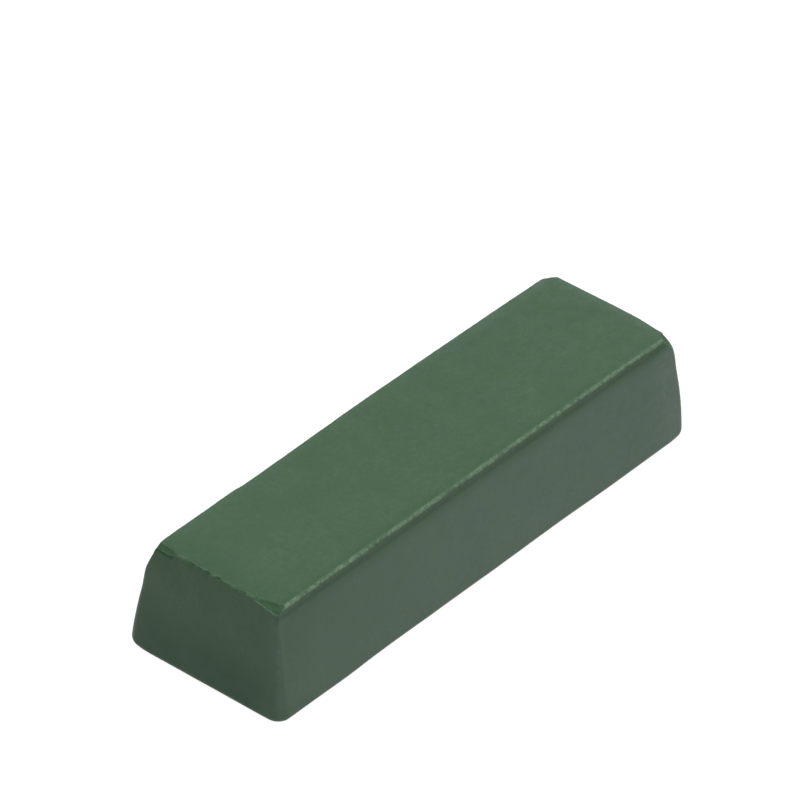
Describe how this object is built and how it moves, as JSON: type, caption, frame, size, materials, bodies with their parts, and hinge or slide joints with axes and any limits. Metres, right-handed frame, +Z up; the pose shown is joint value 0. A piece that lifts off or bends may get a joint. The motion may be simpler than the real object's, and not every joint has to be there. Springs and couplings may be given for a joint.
{
  "type": "polishing compound bar",
  "caption": "Unwrapped tapered bar of green wax-bound polishing compound, cast in one piece, with a thin flash line round its narrow face and chipped corners.",
  "frame": {"origin": "centre of the underside, on the surface that the bar stands on", "axes": "+X along the bar's length, +Y across its width, +Z up from the wide underside to the narrow top face"},
  "size_m": [0.0898, 0.0272, 0.0175],
  "materials": {
    "compound": "satin"
  },
  "bodies": {
    "root": {"compound_bar": "compound"}
  },
  "joints": []
}
